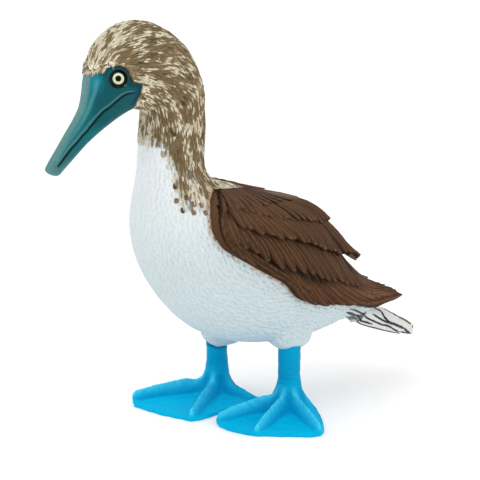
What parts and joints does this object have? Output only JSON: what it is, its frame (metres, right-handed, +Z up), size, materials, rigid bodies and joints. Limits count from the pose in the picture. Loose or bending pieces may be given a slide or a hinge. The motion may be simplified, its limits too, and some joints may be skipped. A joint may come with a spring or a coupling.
{
  "type": "blue-footed booby toy figure",
  "caption": "Hand-painted moulded vinyl figure of a blue-footed booby standing on both webbed feet, wings folded.",
  "frame": {"origin": "on the floor under the middle of the figure's length and width", "axes": "+Z up, the bird faces -Y and its left side is +X"},
  "size_m": [0.0432, 0.0946, 0.0896],
  "materials": {
    "plumage_white": "matte white paint with a faint blue wash over soft sculpted plumage",
    "plumage_brown": "matte brown paint streaked with cream along the lie of the plumage",
    "wing_brown": "dark brown paint, dry-brushed lighter on the raised feather edges",
    "tail_white": "white and cream paint with thin dark feather lines",
    "bill_teal": "satin teal paint, darker in the grooves",
    "foot_blue": "bare bright blue vinyl with a soft sheen",
    "eye_paint": "gloss paint, black pupil in a pale yellow ring with a black surround"
  },
  "bodies": {
    "root": {"torso": "plumage_white", "neck": "plumage_brown", "head": "plumage_brown", "bill_upper": "bill_teal", "bill_lower": "bill_teal", "eye_left": "eye_paint", "eye_right": "eye_paint", "wing_left": "wing_brown", "wing_right": "wing_brown", "tail": "tail_white", "leg_left": "foot_blue", "leg_right": "foot_blue", "foot_left": "foot_blue", "foot_right": "foot_blue"}
  },
  "joints": []
}
